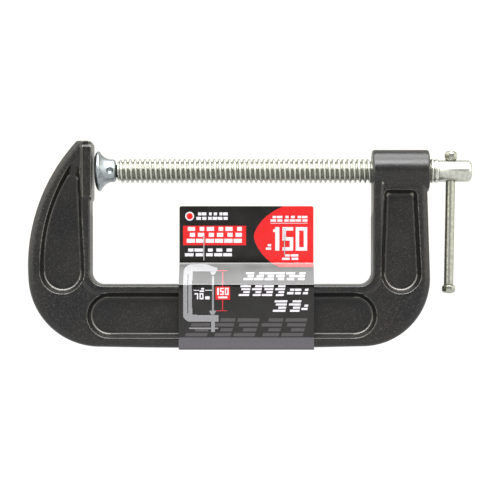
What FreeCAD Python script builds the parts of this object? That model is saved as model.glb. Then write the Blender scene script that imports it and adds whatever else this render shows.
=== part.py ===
import FreeCAD, Part
import math
import os

# C clamp standing upright on its spine, in millimetres.
# +X runs along the screw from the fixed jaw to the T-bar, +Y runs across the casting's
# thickness and +Z points from the spine up to the screw. The origin is under the middle of
# the whole clamp, on the surface it stands on.

V = FreeCAD.Vector
X_AXIS = V(1, 0, 0)
Y_AXIS = V(0, 1, 0)
Z_AXIS = V(0, 0, 1)

# Clamp size
SCREW_Z = 107.9             # height of the screw's centre line
THROAT = 69.3               # screw centre line down to the spine's upper edge
HALF_LENGTH = 134.0         # the whole clamp runs from -HALF_LENGTH to +HALF_LENGTH
JAW_X = -95.6               # working face of the anvil

# Cast frame
RIB_HALF = 11.5             # half thickness at the rib round the inside of the C
PLATE_HALF = 10.5           # half thickness of the rest of the rim
WEB_HALF = 5.2              # half thickness of the pocket floors
LEG_LEFT_X = -96.6          # inner edge of the jaw leg
LEG_RIGHT_X = 73.9          # inner edge of the boss leg
SPINE_TOP_Z = SCREW_Z - THROAT
INNER_CORNER = 8.0          # radius inside the C's two corners
TIP_X = -104.9              # where the jaw's curved back meets its flat top
TIP_Z = 125.9
JAW_BACK_RADIUS = 111.5
LEFT_CORNER = (-91.2, 44.5, 42.9)       # x, z and radius of the outer corner below the jaw
RIGHT_CORNER = (67.4, 42.8, 41.0)       # x, z and radius of the outer corner below the boss
SPINE_BOW_RADIUS = 3600.0   # the spine's underside is slightly bowed
BOSS_LEG_TOP = (106.4, SCREW_Z)
RIB_WIDTH = 5.7             # width of the rib at its foot
RIB_SLOPE = 1.1             # how much narrower the rib is at its face
RIB_ROOT = 1.0              # how deep the rib starts inside the plate, so that the two fuse
OUTER_ROUND = 4.2           # rounding along the outside of the C
INNER_ROUND = 1.0           # rounding along the inside of the C

# Anvil block on the end of the jaw
ANVIL_BACK_X = -101.3
ANVIL_LOW_Z = 89.8
ANVIL_TOP_Z = 124.7
ANVIL_HALF = 12.2
ANVIL_BEVEL = 2.4
ANVIL_ROUND = 0.8

# Recessed pockets in both sides of the frame
POCKET_DRAFT = 2.0          # how far the wall leans in from the rim to the floor
POCKET_FILLET = 1.8
JAW_POCKET_FOOT = (-113.4, 46.9, 13.3)
JAW_POCKET_TIP = (-105.6, 112.3, 2.2)
JAW_POCKET_BACK_RADIUS = 122.0
JAW_FLOOR_TIP = (-108.1, 101.1, 4.0)    # the floor stops short of the rim's tip
JAW_FLOOR_BACK_RADIUS = 100.0
SPINE_POCKET_RADIUS = 13.4
SPINE_POCKET_X = (-84.9, 62.6)
SPINE_POCKET_Z = 20.5
BOSS_POCKET_FOOT = (90.85, 45.7, 12.0)
BOSS_POCKET_TOP_X = (83.7, 97.0)
BOSS_POCKET_TOP_Z = 92.8
BOSS_POCKET_CORNER = 3.4

# Threaded boss
BOSS_X = (73.7, 108.2)
BOSS_RADIUS = 12.9
BOSS_END_ROUND = 1.4
TAP_SINK_DEPTH = 1.2        # countersink at both ends of the threaded hole
TAP_SINK_RADIUS = 8.1

# Screw: single-start right-hand thread with rounded-off trapezoid ridges
PITCH = 3.0
THREAD_RADIUS = 7.4
CORE_RADIUS = 5.65
CREST_WIDTH = 0.9
ROOT_WIDTH = 0.7
THREAD_GAP = 0.3            # clearance between the screw's thread and the boss's
THREAD_X = (-80.5, 109.5)
RUN_TURNS = 4               # turns of thread in each length that the ridge is joined from
RIDGE_ROOT = 0.25           # how deep the ridge starts inside the core, so that the two fuse
CHAMFER_EXTRA = 0.2         # how far the thread's end chamfer reaches past its crest and root
NOSE_END_X = -88.2
NOSE_RADIUS = 3.8
NOSE_GROOVE_RADIUS = 2.7
NOSE_GROOVE_X = (-86.3, -83.3)
SHOULDER_X = -80.8
SHOULDER_RADIUS = 4.75
NOSE_EDGE = 0.3             # chamfer on the nose and its groove
COLLAR_X = (109.5, 113.9)
COLLAR_RADIUS = 7.3
COLLAR_RING = 1.2           # length of the first ring; the second fills the rest
COLLAR_GROOVE = 0.7         # length of the groove between the rings
COLLAR_GROOVE_DEPTH = 0.9
COLLAR_EDGE = 0.25          # chamfer on the rings
HEAD_RADIUS = 6.55
HEAD_END_ROUND = 2.4
HEAD_EDGE = 0.35            # chamfer behind the collar

# Thrust ball between the screw's nose and the pad
BALL_X = -88.7
BALL_RADIUS = 3.0
BALL_GAP = 0.08

# Swivel pad, drawn about its own axis and then tipped about the ball
PAD_FACE_X = -94.2
PAD_SAG_DEG = 2.0
PAD_RADIUS = 12.1
PAD_NECK_RADIUS = 6.9
PAD_LENGTH = 12.5
PAD_NECK_EDGE = 1.0
# Profile points below are (distance behind the face, radius).
PAD_FRONT = ((0.0, 8.9), (0.9, 11.1), (1.9, PAD_RADIUS), (2.7, PAD_RADIUS))
PAD_BELL = ((3.0, 12.0), (4.8, 9.45), (8.8, 7.0))      # start, middle and end of the hollow flank
PAD_MOUTH_X = -89.4         # where the pad's inside opens out behind the ball's middle
PAD_MOUTH_RADII = (4.15, 4.85)
CRIMP_X = -84.8
CRIMP_INNER_RADIUS = 3.4    # the two crimped points reach this far in, into the nose's groove
CRIMP_POINT = (0.9, 1.4, 1.8)           # radius at the tip, radius at the root and height
CRIMP_DENT = (2.2, 1.0)     # radius of the punched dent and how far outside the neck its centre is

# T-bar, hanging at the end of its travel
BAR_X = 121.6
BAR_RADIUS = 2.85
BAR_HOLE_RADIUS = 3.25
BAR_LEAN_DEG = 1.05
KNOB_RADIUS = 3.8
KNOB_HEIGHT = 5.8
LOW_KNOB_HEIGHT = 5.1
KNOB_ROUND = 1.8
KNOB_SUNK = 0.15            # how far the upper knob settles into the hole's mouth
BAR_LENGTH = 86.4

# Printed card sleeve round the spine, with the two staples that close it
CARD_X = (-43.1, 38.2)
CARD_THICKNESS = 0.45
CARD_HALF = RIB_HALF + 0.35
CARD_CORNER = 1.2
CARD_SHOULDER_Z = 39.3
CARD_CLOSED_Z = 52.9
CARD_TOP_Z = 86.6
CARD_BEND = 3.0
LEAF_GAP = 0.12
STAPLE_WIRE = 0.6
STAPLE_HOLE_GAP = 0.05      # clearance round the wire in the card
STAPLE_TIP = 0.42           # length of each bent tip as a share of the crown
STAPLE_TIP_OUT = 0.25       # how far each tip's end stands off the card
STAPLES = (("staple_left", -28.3, 53.6, 68.0), ("staple_right", 20.6, 57.2, 72.6))


def side_between(a, b, radius):
    """Ends of the side that runs from circle a to circle b and bulges outward with a radius.

    Circles are (x, z, radius), met in anticlockwise order. A radius of None is straight.
    Returns the leaving point, the arriving point and, for a curved side, its middle point.
    """
    ax, az, ar = a
    bx, bz, br = b
    span = math.hypot(bx - ax, bz - az)
    heading = math.atan2(bz - az, bx - ax)
    if radius is None:
        normal = heading - math.acos((ar - br) / span)
        leave = (ax + ar * math.cos(normal), az + ar * math.sin(normal))
        arrive = (bx + br * math.cos(normal), bz + br * math.sin(normal))
        return leave, arrive, None
    reach_a = radius - ar
    reach_b = radius - br
    swing = math.acos((span ** 2 + reach_a ** 2 - reach_b ** 2) / (2 * span * reach_a))
    cx = ax + reach_a * math.cos(heading + swing)
    cz = az + reach_a * math.sin(heading + swing)
    from_a = math.atan2(az - cz, ax - cx)
    from_b = math.atan2(bz - cz, bx - cx)
    middle = from_a + ((from_b - from_a) % (2 * math.pi)) / 2
    points = [(cx + radius * math.cos(t), cz + radius * math.sin(t)) for t in (from_a, from_b, middle)]
    return points[0], points[1], points[2]


def outline(circles, sides, inset, y):
    """Closed wire at depth y round circles joined by tangent sides, drawn inset from them."""
    shrunk = [(x, z, r - inset if r else 0.0) for x, z, r in circles]
    count = len(shrunk)
    runs = []
    for i in range(count):
        radius = sides[i] - inset if sides[i] else None
        runs.append(side_between(shrunk[i], shrunk[(i + 1) % count], radius))
    edges = []
    for i in range(count):
        x, z, r = shrunk[i]
        arrive = runs[i - 1][1]
        leave, end, middle = runs[i]
        if r:
            start_angle = math.atan2(arrive[1] - z, arrive[0] - x)
            sweep = (math.atan2(leave[1] - z, leave[0] - x) - start_angle) % (2 * math.pi)
            half = start_angle + sweep / 2
            via = V(x + r * math.cos(half), y, z + r * math.sin(half))
            edges.append(Part.Arc(at_depth(arrive, y), via, at_depth(leave, y)).toShape())
        if middle:
            edges.append(Part.Arc(at_depth(leave, y), at_depth(middle, y), at_depth(end, y)).toShape())
        else:
            edges.append(Part.makeLine(at_depth(leave, y), at_depth(end, y)))
    return Part.Wire(edges)


def at_depth(point, y):
    """Point of the side view, given as (x, z), at depth y."""
    return V(point[0], y, point[1])


def slab(wire, thickness):
    """Solid made by pushing a closed wire in +Y."""
    return Part.Face(wire).extrude(V(0, thickness, 0))


def turned(profile):
    """Solid of revolution about the screw's centre line, from (x, radius) points."""
    points = [V(x, 0, SCREW_Z + r) for x, r in profile]
    face = Part.Face(Part.makePolygon(points + points[:1]))
    return face.revolve(V(0, 0, SCREW_Z), X_AXIS, 360)


def edges_where(shape, test):
    """Edges of a shape whose bounding box passes a test."""
    return [edge for edge in shape.Edges if test(edge.BoundBox)]


def flat_in_y(box, level):
    """True for an edge that lies in one of the two planes y = level and y = -level."""
    return box.YLength < 1e-3 and abs(abs(box.YMin) - level) < 1e-3


# ---------------------------------------------------------------- cast frame

def plate():
    """Outer shape of the C, filled in, with its outside edges rounded."""
    tip_left = (TIP_X, TIP_Z, 0.0)
    tip_right = (LEG_LEFT_X, TIP_Z, 0.0)
    leg_top = (BOSS_LEG_TOP[0], BOSS_LEG_TOP[1], 0.0)
    circles = [tip_left, LEFT_CORNER, RIGHT_CORNER, leg_top, tip_right]
    sides = [JAW_BACK_RADIUS, SPINE_BOW_RADIUS, None, None, None]
    body = slab(outline(circles, sides, 0.0, -PLATE_HALF), 2 * PLATE_HALF)
    top = SCREW_Z - 1.0
    rim = edges_where(body, lambda box: flat_in_y(box, PLATE_HALF) and box.ZMin < top)
    return body.makeFillet(OUTER_ROUND, rim)


def opening(outset, y):
    """Wire round the space inside the C, drawn wider by an outset and open far above the jaw."""
    low_z = SPINE_TOP_Z + INNER_CORNER
    high_z = 3 * SCREW_Z
    left = LEG_LEFT_X + INNER_CORNER
    right = LEG_RIGHT_X - INNER_CORNER
    corners = ((left, low_z), (right, low_z), (right, high_z), (left, high_z))
    circles = [(x, z, INNER_CORNER) for x, z in corners]
    return outline(circles, [None] * 4, -outset, y)


def rib(body):
    """Raised rib that follows the inside of the C on both faces, with sloping outer sides."""
    layers = []
    for side in (-1, 1):
        foot = opening(RIB_WIDTH, side * (PLATE_HALF - RIB_ROOT))
        shoulder = opening(RIB_WIDTH, side * PLATE_HALF)
        face = opening(RIB_WIDTH - RIB_SLOPE, side * RIB_HALF)
        layers.append(Part.makeLoft([foot, shoulder], True, True))
        layers.append(Part.makeLoft([shoulder, face], True, True))
    stretch = FreeCAD.Matrix()
    stretch.A22 = (RIB_HALF + RIB_ROOT) / PLATE_HALF
    stretched = body.transformGeometry(stretch)
    return layers[0].multiFuse(layers[1:]).common(stretched)


def inner_rim(body):
    """Edges where the rib's faces meet the inside of the C."""
    rim = []
    for edge in edges_where(body, lambda box: flat_in_y(box, RIB_HALF)):
        middle = edge.valueAt((edge.FirstParameter + edge.LastParameter) / 2)
        if Part.Vertex(middle).distToShape(opening(0.0, middle.y))[0] < 0.01:
            rim.append(edge)
    return rim


def pocket(circles, sides, floor_circles, floor_sides):
    """Pair of cutters for a pocket with leaning walls, one for each face of the frame.

    The floor is drawn inside its circles by the draft.
    """
    proud = RIB_HALF + 1.0
    lean = POCKET_DRAFT / (PLATE_HALF - WEB_HALF)
    rim = outline(circles, sides, -(proud - PLATE_HALF) * lean, -proud)
    floor = outline(floor_circles, floor_sides, POCKET_DRAFT, -WEB_HALF)
    cutter = Part.makeLoft([rim, floor], True, True)
    cutter = cutter.makeFillet(POCKET_FILLET, edges_where(cutter, lambda box: flat_in_y(box, WEB_HALF)))
    return [cutter, cutter.mirror(V(0, 0, 0), Y_AXIS)]


def pockets():
    """Cutters for the curved jaw pocket, the long spine pocket and the tapered boss-leg pocket."""
    tip_x, tip_z, tip_radius = JAW_FLOOR_TIP
    jaw_floor = [JAW_POCKET_FOOT, (tip_x, tip_z, tip_radius + POCKET_DRAFT)]
    jaw = pocket([JAW_POCKET_FOOT, JAW_POCKET_TIP], [None, JAW_POCKET_BACK_RADIUS],
                 jaw_floor, [None, JAW_FLOOR_BACK_RADIUS])
    ends = [(x, SPINE_POCKET_Z, SPINE_POCKET_RADIUS) for x in SPINE_POCKET_X]
    spine = pocket(ends, [None] * 2, ends, [None] * 2)
    left_x, right_x = BOSS_POCKET_TOP_X
    corners = [BOSS_POCKET_FOOT] + [(x, BOSS_POCKET_TOP_Z, BOSS_POCKET_CORNER) for x in (right_x, left_x)]
    boss_leg = pocket(corners, [None] * 3, corners, [None] * 3)
    return jaw + spine + boss_leg


def anvil():
    """Bevelled block on the jaw that carries the fixed working face."""
    size = (JAW_X - ANVIL_BACK_X, 2 * ANVIL_HALF, ANVIL_TOP_Z - ANVIL_LOW_Z)
    block = Part.makeBox(*size, V(ANVIL_BACK_X, -ANVIL_HALF, ANVIL_LOW_Z))
    long_edges = edges_where(block, lambda box: box.XLength > 1)
    block = block.makeChamfer(ANVIL_BEVEL, long_edges)
    face_edges = edges_where(block, lambda box: box.XLength < 1e-3 and box.XMin > JAW_X - 1e-3)
    return block.makeFillet(ANVIL_ROUND, face_edges)


def boss():
    """Round boss that carries the thread, with softened ends."""
    body = Part.makeCylinder(BOSS_RADIUS, BOSS_X[1] - BOSS_X[0], V(BOSS_X[0], 0, SCREW_Z), X_AXIS)
    return body.makeFillet(BOSS_END_ROUND, edges_where(body, lambda box: box.XLength < 1e-3))


def frame():
    """The malleable casting: C-shaped frame with its anvil and its threaded boss."""
    body = plate()
    body = body.fuse(rib(body))
    body = body.cut(slab(opening(0.0, -2 * RIB_HALF), 4 * RIB_HALF))
    body = body.makeFillet(INNER_ROUND, inner_rim(body))
    for cutter in pockets():
        body = body.cut(cutter)
    body = body.multiFuse([anvil(), boss()]).removeSplitter()
    body = body.cut(boss_tap())
    return body


# ---------------------------------------------------------------- threads

def ridge(start_x, turns, grow):
    """Helical thread ridge round the screw's centre line, thickened by grow on every side.

    Returned as equal lengths of a few turns, end to end.
    """
    root_radius = CORE_RADIUS + grow
    slope = (PITCH - CREST_WIDTH - ROOT_WIDTH) / 2 / (THREAD_RADIUS - CORE_RADIUS)
    swell = grow * (math.hypot(1, slope) - slope)
    half_root = (PITCH - ROOT_WIDTH) / 2 + swell
    half_crest = CREST_WIDTH / 2 + swell
    sunk = root_radius - RIDGE_ROOT
    profile = [(sunk, -half_root), (root_radius, -half_root), (THREAD_RADIUS + grow, -half_crest),
               (THREAD_RADIUS + grow, half_crest), (root_radius, half_root), (sunk, half_root)]
    points = [V(r, 0, z) for r, z in profile]
    helix = Part.Wire(Part.makeHelix(PITCH, PITCH * RUN_TURNS, root_radius).Edges)
    run = helix.makePipeShell([Part.makePolygon(points + points[:1])], True, True)
    run.rotate(V(0, 0, 0), Y_AXIS, 90)
    runs = []
    for i in range(math.ceil(turns / RUN_TURNS)):
        runs.append(run.translated(V(start_x + i * RUN_TURNS * PITCH, 0, SCREW_Z)))
    return runs


def boss_tap():
    """Cutter for the boss's threaded hole, in step with the screw's thread."""
    lead = THREAD_X[0] - PITCH
    skipped = math.floor((BOSS_X[0] - 2 * PITCH - lead) / PITCH)
    start = lead + skipped * PITCH
    turns = math.ceil((BOSS_X[1] - start) / PITCH) + 1
    length = BOSS_X[1] - BOSS_X[0] + 4 * PITCH
    bore = Part.makeCylinder(CORE_RADIUS + THREAD_GAP, length, V(BOSS_X[0] - 2 * PITCH, 0, SCREW_Z), X_AXIS)
    outside = 1.0
    sinks = []
    for x, inward in ((BOSS_X[0], 1), (BOSS_X[1], -1)):
        near = x - inward * outside
        far = x + inward * TAP_SINK_DEPTH
        wide = TAP_SINK_RADIUS + outside
        sinks.append(turned([(near, 0), (near, wide), (far, TAP_SINK_RADIUS - TAP_SINK_DEPTH), (far, 0)]))
    return bore.multiFuse(ridge(start, turns, THREAD_GAP) + sinks)


def thread():
    """Threaded length of the screw, chamfered where it starts and square where the collar takes over."""
    low, high = THREAD_X
    run_length = RUN_TURNS * PITCH
    core = Part.makeCylinder(CORE_RADIUS, 2 * run_length, V(low - PITCH, 0, SCREW_Z), X_AXIS)
    slice_of_screw = Part.makeCylinder(2 * THREAD_RADIUS, run_length, V(low, 0, SCREW_Z), X_AXIS)
    run = core.multiFuse(ridge(low - PITCH, 2 * RUN_TURNS, 0.0)).common(slice_of_screw)
    copies = []
    for i in range(math.ceil((high - low) / run_length)):
        copies.append(run.translated(V(i * run_length, 0, 0)))
    whole = copies[0].multiFuse(copies[1:])
    inner = CORE_RADIUS - CHAMFER_EXTRA
    outer = THREAD_RADIUS + CHAMFER_EXTRA
    chamfer = turned([(low - PITCH, inner), (low, inner), (low + outer - inner, outer), (low - PITCH, outer)])
    excess = Part.makeCylinder(2 * THREAD_RADIUS, run_length, V(high, 0, SCREW_Z), X_AXIS)
    return whole.cut(chamfer).cut(excess)


def screw():
    """Threaded spindle with a recessed nose, a grooved collar and a drilled round head."""
    groove_low, groove_high = NOSE_GROOVE_X
    inside_thread = THREAD_X[0] + 1.0
    edge = NOSE_EDGE
    nose = turned([(NOSE_END_X, 0), (NOSE_END_X, NOSE_RADIUS - edge), (NOSE_END_X + edge, NOSE_RADIUS),
                   (groove_low, NOSE_RADIUS), (groove_low + 2 * edge, NOSE_GROOVE_RADIUS),
                   (groove_high - 2 * edge, NOSE_GROOVE_RADIUS), (groove_high, NOSE_RADIUS),
                   (SHOULDER_X, NOSE_RADIUS), (SHOULDER_X, SHOULDER_RADIUS),
                   (inside_thread, SHOULDER_RADIUS), (inside_thread, 0)])
    cup = Part.makeSphere(BALL_RADIUS + BALL_GAP, V(BALL_X, 0, SCREW_Z))
    handle_end = collar().fuse(head())
    hole = Part.makeCylinder(BAR_HOLE_RADIUS, 4 * HEAD_RADIUS, V(BAR_X, 0, SCREW_Z - 2 * HEAD_RADIUS), Z_AXIS)
    return thread().multiFuse([nose.cut(cup), handle_end.cut(hole)])


def collar():
    """Two chamfered rings with a narrow groove between them, where the thread ends."""
    low, high = COLLAR_X
    bottom = COLLAR_RADIUS - COLLAR_GROOVE_DEPTH
    first_end = low + COLLAR_RING
    second = first_end + COLLAR_GROOVE
    past = high + COLLAR_EDGE / 2
    points = [(low, 0)] + ring(low, first_end, COLLAR_RADIUS)
    points += [(first_end + COLLAR_EDGE / 2, bottom), (second - COLLAR_EDGE / 2, bottom)]
    points += ring(second, high, COLLAR_RADIUS - COLLAR_EDGE)
    return turned(points + [(past, bottom), (past, 0)])


def ring(start, end, radius):
    """Profile of one ring of the collar, chamfered at both edges."""
    low = radius - COLLAR_EDGE
    return [(start, low), (start + COLLAR_EDGE, radius), (end - COLLAR_EDGE, radius), (end, low)]


def head():
    """Round head with a softened outer end."""
    start = COLLAR_X[1]
    body = Part.makeCylinder(HEAD_RADIUS, HALF_LENGTH - start, V(start, 0, SCREW_Z), X_AXIS)
    far = edges_where(body, lambda box: box.XLength < 1e-3 and box.XMin > HALF_LENGTH - 1e-3)
    body = body.makeFillet(HEAD_END_ROUND, far)
    near = edges_where(body, lambda box: box.XLength < 1e-3 and box.XMin < start + 1e-3)
    return body.makeChamfer(HEAD_EDGE, near)


# ---------------------------------------------------------------- pad end

def thrust_ball():
    """Loose steel ball between the screw's nose and the pad."""
    return Part.makeSphere(BALL_RADIUS, V(BALL_X, 0, SCREW_Z))


def pad():
    """Bell-shaped swivel pad crimped over the nose, tipped a little under its own weight."""
    front = [(0.0, 0.0)] + list(PAD_FRONT) + [PAD_BELL[0]]
    back = [PAD_BELL[2], (PAD_LENGTH - PAD_NECK_EDGE, PAD_NECK_RADIUS),
            (PAD_LENGTH, PAD_NECK_RADIUS - PAD_NECK_EDGE), (PAD_LENGTH, 0.0)]
    start, middle, end = [pad_point(p) for p in PAD_BELL]
    edges = [Part.makeLine(pad_point(a), pad_point(b)) for a, b in zip(front, front[1:])]
    edges.append(Part.Arc(start, middle, end).toShape())
    edges += [Part.makeLine(pad_point(a), pad_point(b)) for a, b in zip(back, back[1:] + front[:1])]
    body = Part.Face(Part.Wire(edges)).revolve(V(0, 0, SCREW_Z), X_AXIS, 360)
    seat = Part.makeSphere(BALL_RADIUS + BALL_GAP, V(BALL_X, 0, SCREW_Z))
    behind = PAD_FACE_X + PAD_LENGTH + 1.0
    deep_radius, mouth_radius = PAD_MOUTH_RADII
    mouth = turned([(PAD_MOUTH_X, 0), (PAD_MOUTH_X, deep_radius), (behind, mouth_radius), (behind, 0)])
    body = crimped(body.cut(seat).cut(mouth))
    body.rotate(V(BALL_X, 0, SCREW_Z), -Y_AXIS, PAD_SAG_DEG)
    return body


def crimped(body):
    """Pad with a dent punched into each side of its neck, pushing a point into the nose's groove."""
    dent_radius, dent_out = CRIMP_DENT
    for side in (-1, 1):
        point = Part.makeCone(*CRIMP_POINT, V(CRIMP_X, side * CRIMP_INNER_RADIUS, SCREW_Z), V(0, side, 0))
        dent = Part.makeSphere(dent_radius, V(CRIMP_X, side * (PAD_NECK_RADIUS + dent_out), SCREW_Z))
        body = body.fuse(point).cut(dent)
    return body


def pad_point(point):
    """Point of the pad's profile, given as distance behind its face and radius."""
    return V(PAD_FACE_X + point[0], 0, SCREW_Z + point[1])


# ---------------------------------------------------------------- T-bar

def t_bar():
    """Sliding bar with a headed end each side, leaning in its loose hole."""
    seat = SCREW_Z + HEAD_RADIUS - KNOB_SUNK
    rod = Part.makeCylinder(BAR_RADIUS, BAR_LENGTH, V(BAR_X, 0, seat + KNOB_HEIGHT - BAR_LENGTH), Z_AXIS)
    upper = knob(seat, KNOB_HEIGHT)
    lower = knob(seat + KNOB_HEIGHT - BAR_LENGTH, LOW_KNOB_HEIGHT)
    body = rod.multiFuse([upper, lower]).removeSplitter()
    body.rotate(V(BAR_X, 0, SCREW_Z), Y_AXIS, BAR_LEAN_DEG)
    return body


def knob(low_z, height):
    """Headed end of the bar: a short drum with rounded edges."""
    body = Part.makeCylinder(KNOB_RADIUS, height, V(BAR_X, 0, low_z), Z_AXIS)
    return body.makeFillet(KNOB_ROUND, edges_where(body, lambda box: box.ZLength < 1e-3))


# ---------------------------------------------------------------- card sleeve

def card_path():
    """Centre line of the card in the YZ plane, from the front leaf round the spine to the back leaf."""
    half = CARD_THICKNESS / 2
    leaf = LEAF_GAP / 2 + half
    wide = CARD_HALF + half
    front = [(-leaf, CARD_TOP_Z, 0.0), (-leaf, CARD_CLOSED_Z, CARD_BEND), (-wide, CARD_SHOULDER_Z, CARD_BEND),
             (-wide, half, CARD_CORNER)]
    back = [(-y, z, r) for y, z, r in reversed(front)]
    return rounded_path(front + back)


def rounded_path(points):
    """Wire through (y, z, bend radius) points, straight between them and rounded at each."""
    corners = [V(CARD_X[0], y, z) for y, z, _ in points]
    edges = []
    last = corners[0]
    for i in range(1, len(corners) - 1):
        to_last = (corners[i - 1] - corners[i]).normalize()
        to_next = (corners[i + 1] - corners[i]).normalize()
        half_turn = to_last.getAngle(to_next) / 2
        radius = points[i][2]
        reach = radius / math.tan(half_turn)
        start = corners[i] + to_last * reach
        end = corners[i] + to_next * reach
        inward = (to_last + to_next).normalize()
        middle = corners[i] + inward * (radius / math.sin(half_turn) - radius)
        edges.append(Part.makeLine(last, start))
        edges.append(Part.Arc(start, middle, end).toShape())
        last = end
    edges.append(Part.makeLine(last, corners[-1]))
    return Part.Wire(edges)


def card_sleeve():
    """Printed card folded up round the spine, with holes where the staples go through."""
    path = card_path()
    half = CARD_THICKNESS / 2
    inner = path.makeOffset2D(-half, 0, False, True)
    outer = path.makeOffset2D(half, 0, False, True)
    caps = []
    for a, b in zip(wire_ends(inner), wire_ends(outer)):
        caps.append(Part.makeLine(a, b))
    section = Part.Wire(Part.__sortEdges__(inner.Edges + outer.Edges + caps))
    body = Part.Face(section).extrude(V(CARD_X[1] - CARD_X[0], 0, 0))
    radius = STAPLE_WIRE / 2 + STAPLE_HOLE_GAP
    for _, x, low_z, high_z in STAPLES:
        for z in (low_z, high_z):
            body = body.cut(Part.makeCylinder(radius, 2 * CARD_CORNER, V(x, -CARD_CORNER, z), Y_AXIS))
    return body


def wire_ends(wire):
    """The two free ends of an open wire, the one in front first."""
    ends = [v.Point for v in wire.Vertexes if len([e for e in wire.Edges if touches(e, v.Point)]) == 1]
    return sorted(ends, key=lambda p: p.y)


def touches(edge, point):
    """True if one of an edge's ends is at the point."""
    return any((v.Point - point).Length < 1e-6 for v in edge.Vertexes)


def staple(x, low_z, high_z):
    """Wire staple: a straight crown in front, two legs through the card and tips bent in behind."""
    radius = STAPLE_WIRE / 2
    back = LEAF_GAP / 2 + CARD_THICKNESS + radius + STAPLE_HOLE_GAP
    tip = STAPLE_TIP * (high_z - low_z)
    tip_y = back + STAPLE_TIP_OUT
    route = [(tip_y, low_z + tip), (back, low_z), (-back, low_z), (-back, high_z), (back, high_z),
             (tip_y, high_z - tip)]
    points = [V(x, y, z) for y, z in route]
    pieces = []
    for a, b in zip(points, points[1:]):
        pieces.append(Part.makeCylinder(radius, (b - a).Length, a, b - a))
    pieces += [Part.makeSphere(radius, p) for p in points]
    return pieces[0].multiFuse(pieces[1:]).removeSplitter()


# ---------------------------------------------------------------- export

def main():
    """Build every piece and write one file for each."""
    os.makedirs("parts", exist_ok=True)
    pieces = {"frame": frame(), "screw": screw(), "thrust_ball": thrust_ball(), "swivel_pad": pad(),
              "t_bar": t_bar(), "card_sleeve": card_sleeve()}
    for name, x, low_z, high_z in STAPLES:
        pieces[name] = staple(x, low_z, high_z)
    for name, shape in pieces.items():
        box = shape.BoundBox
        print(name, shape.isValid(), len(shape.Solids), round(shape.Volume, 1),
              [round(n, 2) for n in (box.XMin, box.YMin, box.ZMin, box.XMax, box.YMax, box.ZMax)])
        shape.exportStep("parts/" + name + ".step")


main()
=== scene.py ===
import bmesh
import bpy
import math
from mathutils import Matrix, Vector


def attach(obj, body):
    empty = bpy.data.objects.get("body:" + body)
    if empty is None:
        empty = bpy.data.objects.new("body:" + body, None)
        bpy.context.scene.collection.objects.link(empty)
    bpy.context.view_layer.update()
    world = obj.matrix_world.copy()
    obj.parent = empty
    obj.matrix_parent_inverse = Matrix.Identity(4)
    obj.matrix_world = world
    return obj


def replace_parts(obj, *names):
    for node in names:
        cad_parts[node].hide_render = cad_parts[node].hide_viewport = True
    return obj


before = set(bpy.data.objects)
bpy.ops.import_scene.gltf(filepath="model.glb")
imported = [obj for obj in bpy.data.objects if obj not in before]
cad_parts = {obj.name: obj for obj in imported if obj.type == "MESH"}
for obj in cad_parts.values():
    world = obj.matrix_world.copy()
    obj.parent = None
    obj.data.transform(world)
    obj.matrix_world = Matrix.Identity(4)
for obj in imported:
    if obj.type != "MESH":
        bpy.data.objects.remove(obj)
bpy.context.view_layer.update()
MM = 0.001
TINY = 1e-7                 # lengths in metres below this count as nothing

# Camera: level with the middle of the clamp and straight in front of it
CAMERA_PLACE = (-0.0003, -1.1, 0.06)
VIEW_WIDTH = 0.3035         # width of what the camera sees at the clamp's middle plane
SENSOR = 36.0
CLIP = (0.01, 200.0)

# Studio, with brightness relative to a white surface. The edges are how far sideways or backwards
# a direction points where one part of the room passes into the next.
SIDE_BRIGHTNESS = 2.6
BEHIND_BRIGHTNESS = 0.7
BACKDROP_BRIGHTNESS = 1.1
GAP_BRIGHTNESS = 0.06
GAP_EDGE = (0.33, 0.55)
BEHIND_EDGE = (0.1, 0.5)
BACKDROP_EDGE = (0.955, 0.975)
ROOM_COLOUR = (1.0, 0.985, 0.92, 1.0)
LIGHT_AIM = (0.0, 0.0, 0.06)
# Soft boxes: name, place, width and height, brightness
SOFT_BOXES = (("front_box", (0.0, -0.72, 0.92), (1.3, 0.42), 15.0),
              ("overhead_box", (0.0, -0.1, 1.1), (1.3, 0.7), 7.5))
FLOOR_HALF = 60.0
FLOOR_COLOUR = (0.05, 0.05, 0.05, 1.0)
FLOOR_GLOW = 0.98           # a light table's own light

# Casting
VOXEL = 0.42 * MM           # grid that the casting is rebuilt on, which softens its edges
CAST_TRIANGLES = 190_000
CAST_SOFTENING = 2          # smoothing passes over the whole rebuilt casting
EDGE_SOFTENING = 12         # further passes where the enamel lies thick, off the anvil and the rib's foot
OPENING = (-96.6 * MM, 73.9 * MM, 38.6 * MM, 8.0 * MM)     # left, right, bottom and corner radius
RIB_FOOT = (4.0 * MM, 7.4 * MM)         # band round the opening where the rib's sloping side stays crisp
RIB_HALF = 11.5 * MM        # half the casting's thickness at the rib
MOULD_DRAFT = 0.9 * MM      # how far the inside of the C swells at its middle, where the mould parts
DRAFT_DEPTH = 3.0 * MM      # how far into the casting the swelling reaches
DRAFT_TOP = 84.0 * MM       # the swelling fades out below here, short of the anvil and the boss
DRAFT_FADE = 4.0 * MM
ANVIL_X = (-103.0 * MM, -93.0 * MM)
ANVIL_LOW_Z = 88.0 * MM

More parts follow.
